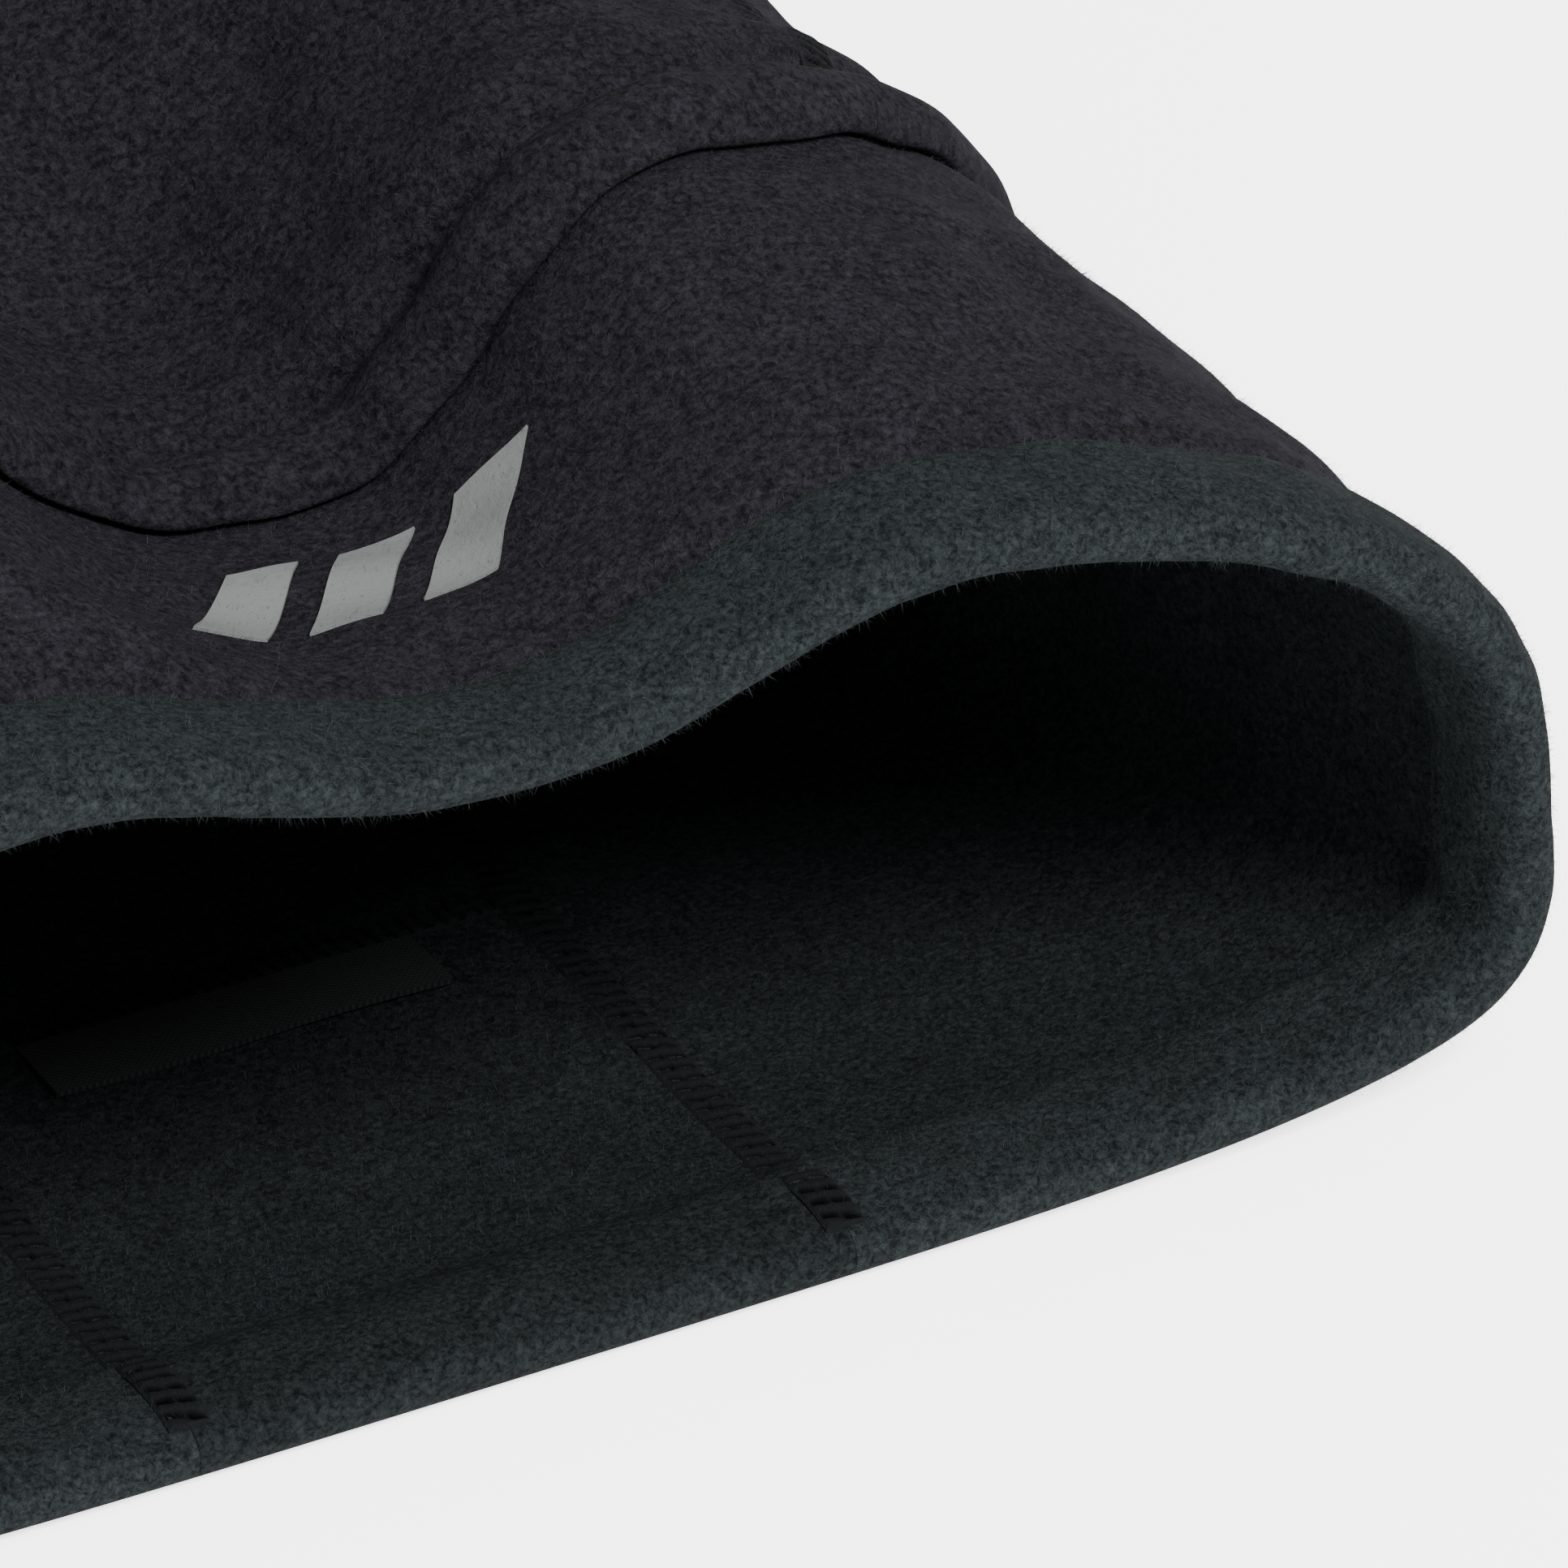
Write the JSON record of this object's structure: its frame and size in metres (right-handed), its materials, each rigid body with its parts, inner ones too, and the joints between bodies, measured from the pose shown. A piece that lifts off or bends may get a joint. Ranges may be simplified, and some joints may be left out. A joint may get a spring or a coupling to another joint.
{
  "type": "balaclava",
  "caption": "Fleece balaclava with a lined hood, turned neck hem and a lift-off face mask whose side wings peel open.",
  "frame": {"origin": "middle of the footprint, on the surface the back of the hood rests on", "axes": "+Z out of the front of the garment, +Y from neck hem to crown, +X to the wearer's left"},
  "size_m": [0.24, 0.39, 0.1197],
  "materials": {
    "outer_fleece": "brushed fleece, matte",
    "inner_fleece": "soft brushed lining, matte",
    "turned_hem_fleece": "soft brushed fleece folded double",
    "seam_thread": "thick flat ladder stitching",
    "elastic_band": "woven elastic",
    "loop_tape": "soft loop pile",
    "hook_tape": "stiff hook tape",
    "woven_label": "plain woven tape",
    "reflective_film": "matte grey reflective film",
    "stretch_binding": "folded stretch knit"
  },
  "bodies": {
    "hood": {"neck_strip_shell": "outer_fleece", "neck_strip_lining": "inner_fleece", "crown_strip_shell": "outer_fleece", "crown_strip_lining": "inner_fleece", "neck_panel_shell": "outer_fleece", "neck_panel_lining": "inner_fleece", "side_panel_left_shell": "outer_fleece", "side_panel_right_shell": "outer_fleece", "side_panel_left_lining": "inner_fleece", "side_panel_right_lining": "inner_fleece", "hem_facing_front": "turned_hem_fleece", "hem_facing_back": "turned_hem_fleece", "strip_seam_left": "seam_thread", "strip_seam_right": "seam_thread", "hem_seam_left": "seam_thread", "hem_seam_right": "seam_thread", "neck_back_seam": "seam_thread", "neck_front_seam": "seam_thread", "chin_seam": "seam_thread", "face_opening_binding": "stretch_binding", "face_opening_elastic": "elastic_band", "loop_patch_left": "loop_tape", "loop_patch_right": "loop_tape", "neck_label": "woven_label", "neck_transfer": "reflective_film"},
    "mask": {"mask_front_lining": "inner_fleece", "mask_front_shell": "outer_fleece", "mask_front_hem_band": "outer_fleece", "mask_front_top_binding": "stretch_binding", "wing_seam_left": "seam_thread", "wing_seam_right": "seam_thread"},
    "wing_left": {"wing_left_lining": "inner_fleece", "wing_left_shell": "outer_fleece", "wing_left_hem_band": "outer_fleece", "wing_left_top_binding": "stretch_binding", "hook_patch_left": "hook_tape"},
    "wing_right": {"wing_right_lining": "inner_fleece", "wing_right_shell": "outer_fleece", "wing_right_hem_band": "outer_fleece", "wing_right_top_binding": "stretch_binding", "hook_patch_right": "hook_tape"}
  },
  "joints": [
    {"name": "mask_lift", "type": "slide", "parent": "hood", "child": "mask", "axis": [0, 0, 1], "range_m": [0, 0.16]},
    {"name": "wing_left_peel", "type": "hinge", "parent": "mask", "child": "wing_left", "pos_m": [0.079, -0.115, 0.09], "axis": [0, -0.9992, -0.0396], "range_deg": [0, 65]},
    {"name": "wing_right_peel", "type": "hinge", "parent": "mask", "child": "wing_right", "pos_m": [-0.079, -0.115, 0.09], "axis": [0, 0.9992, 0.0396], "range_deg": [0, 65]}
  ]
}
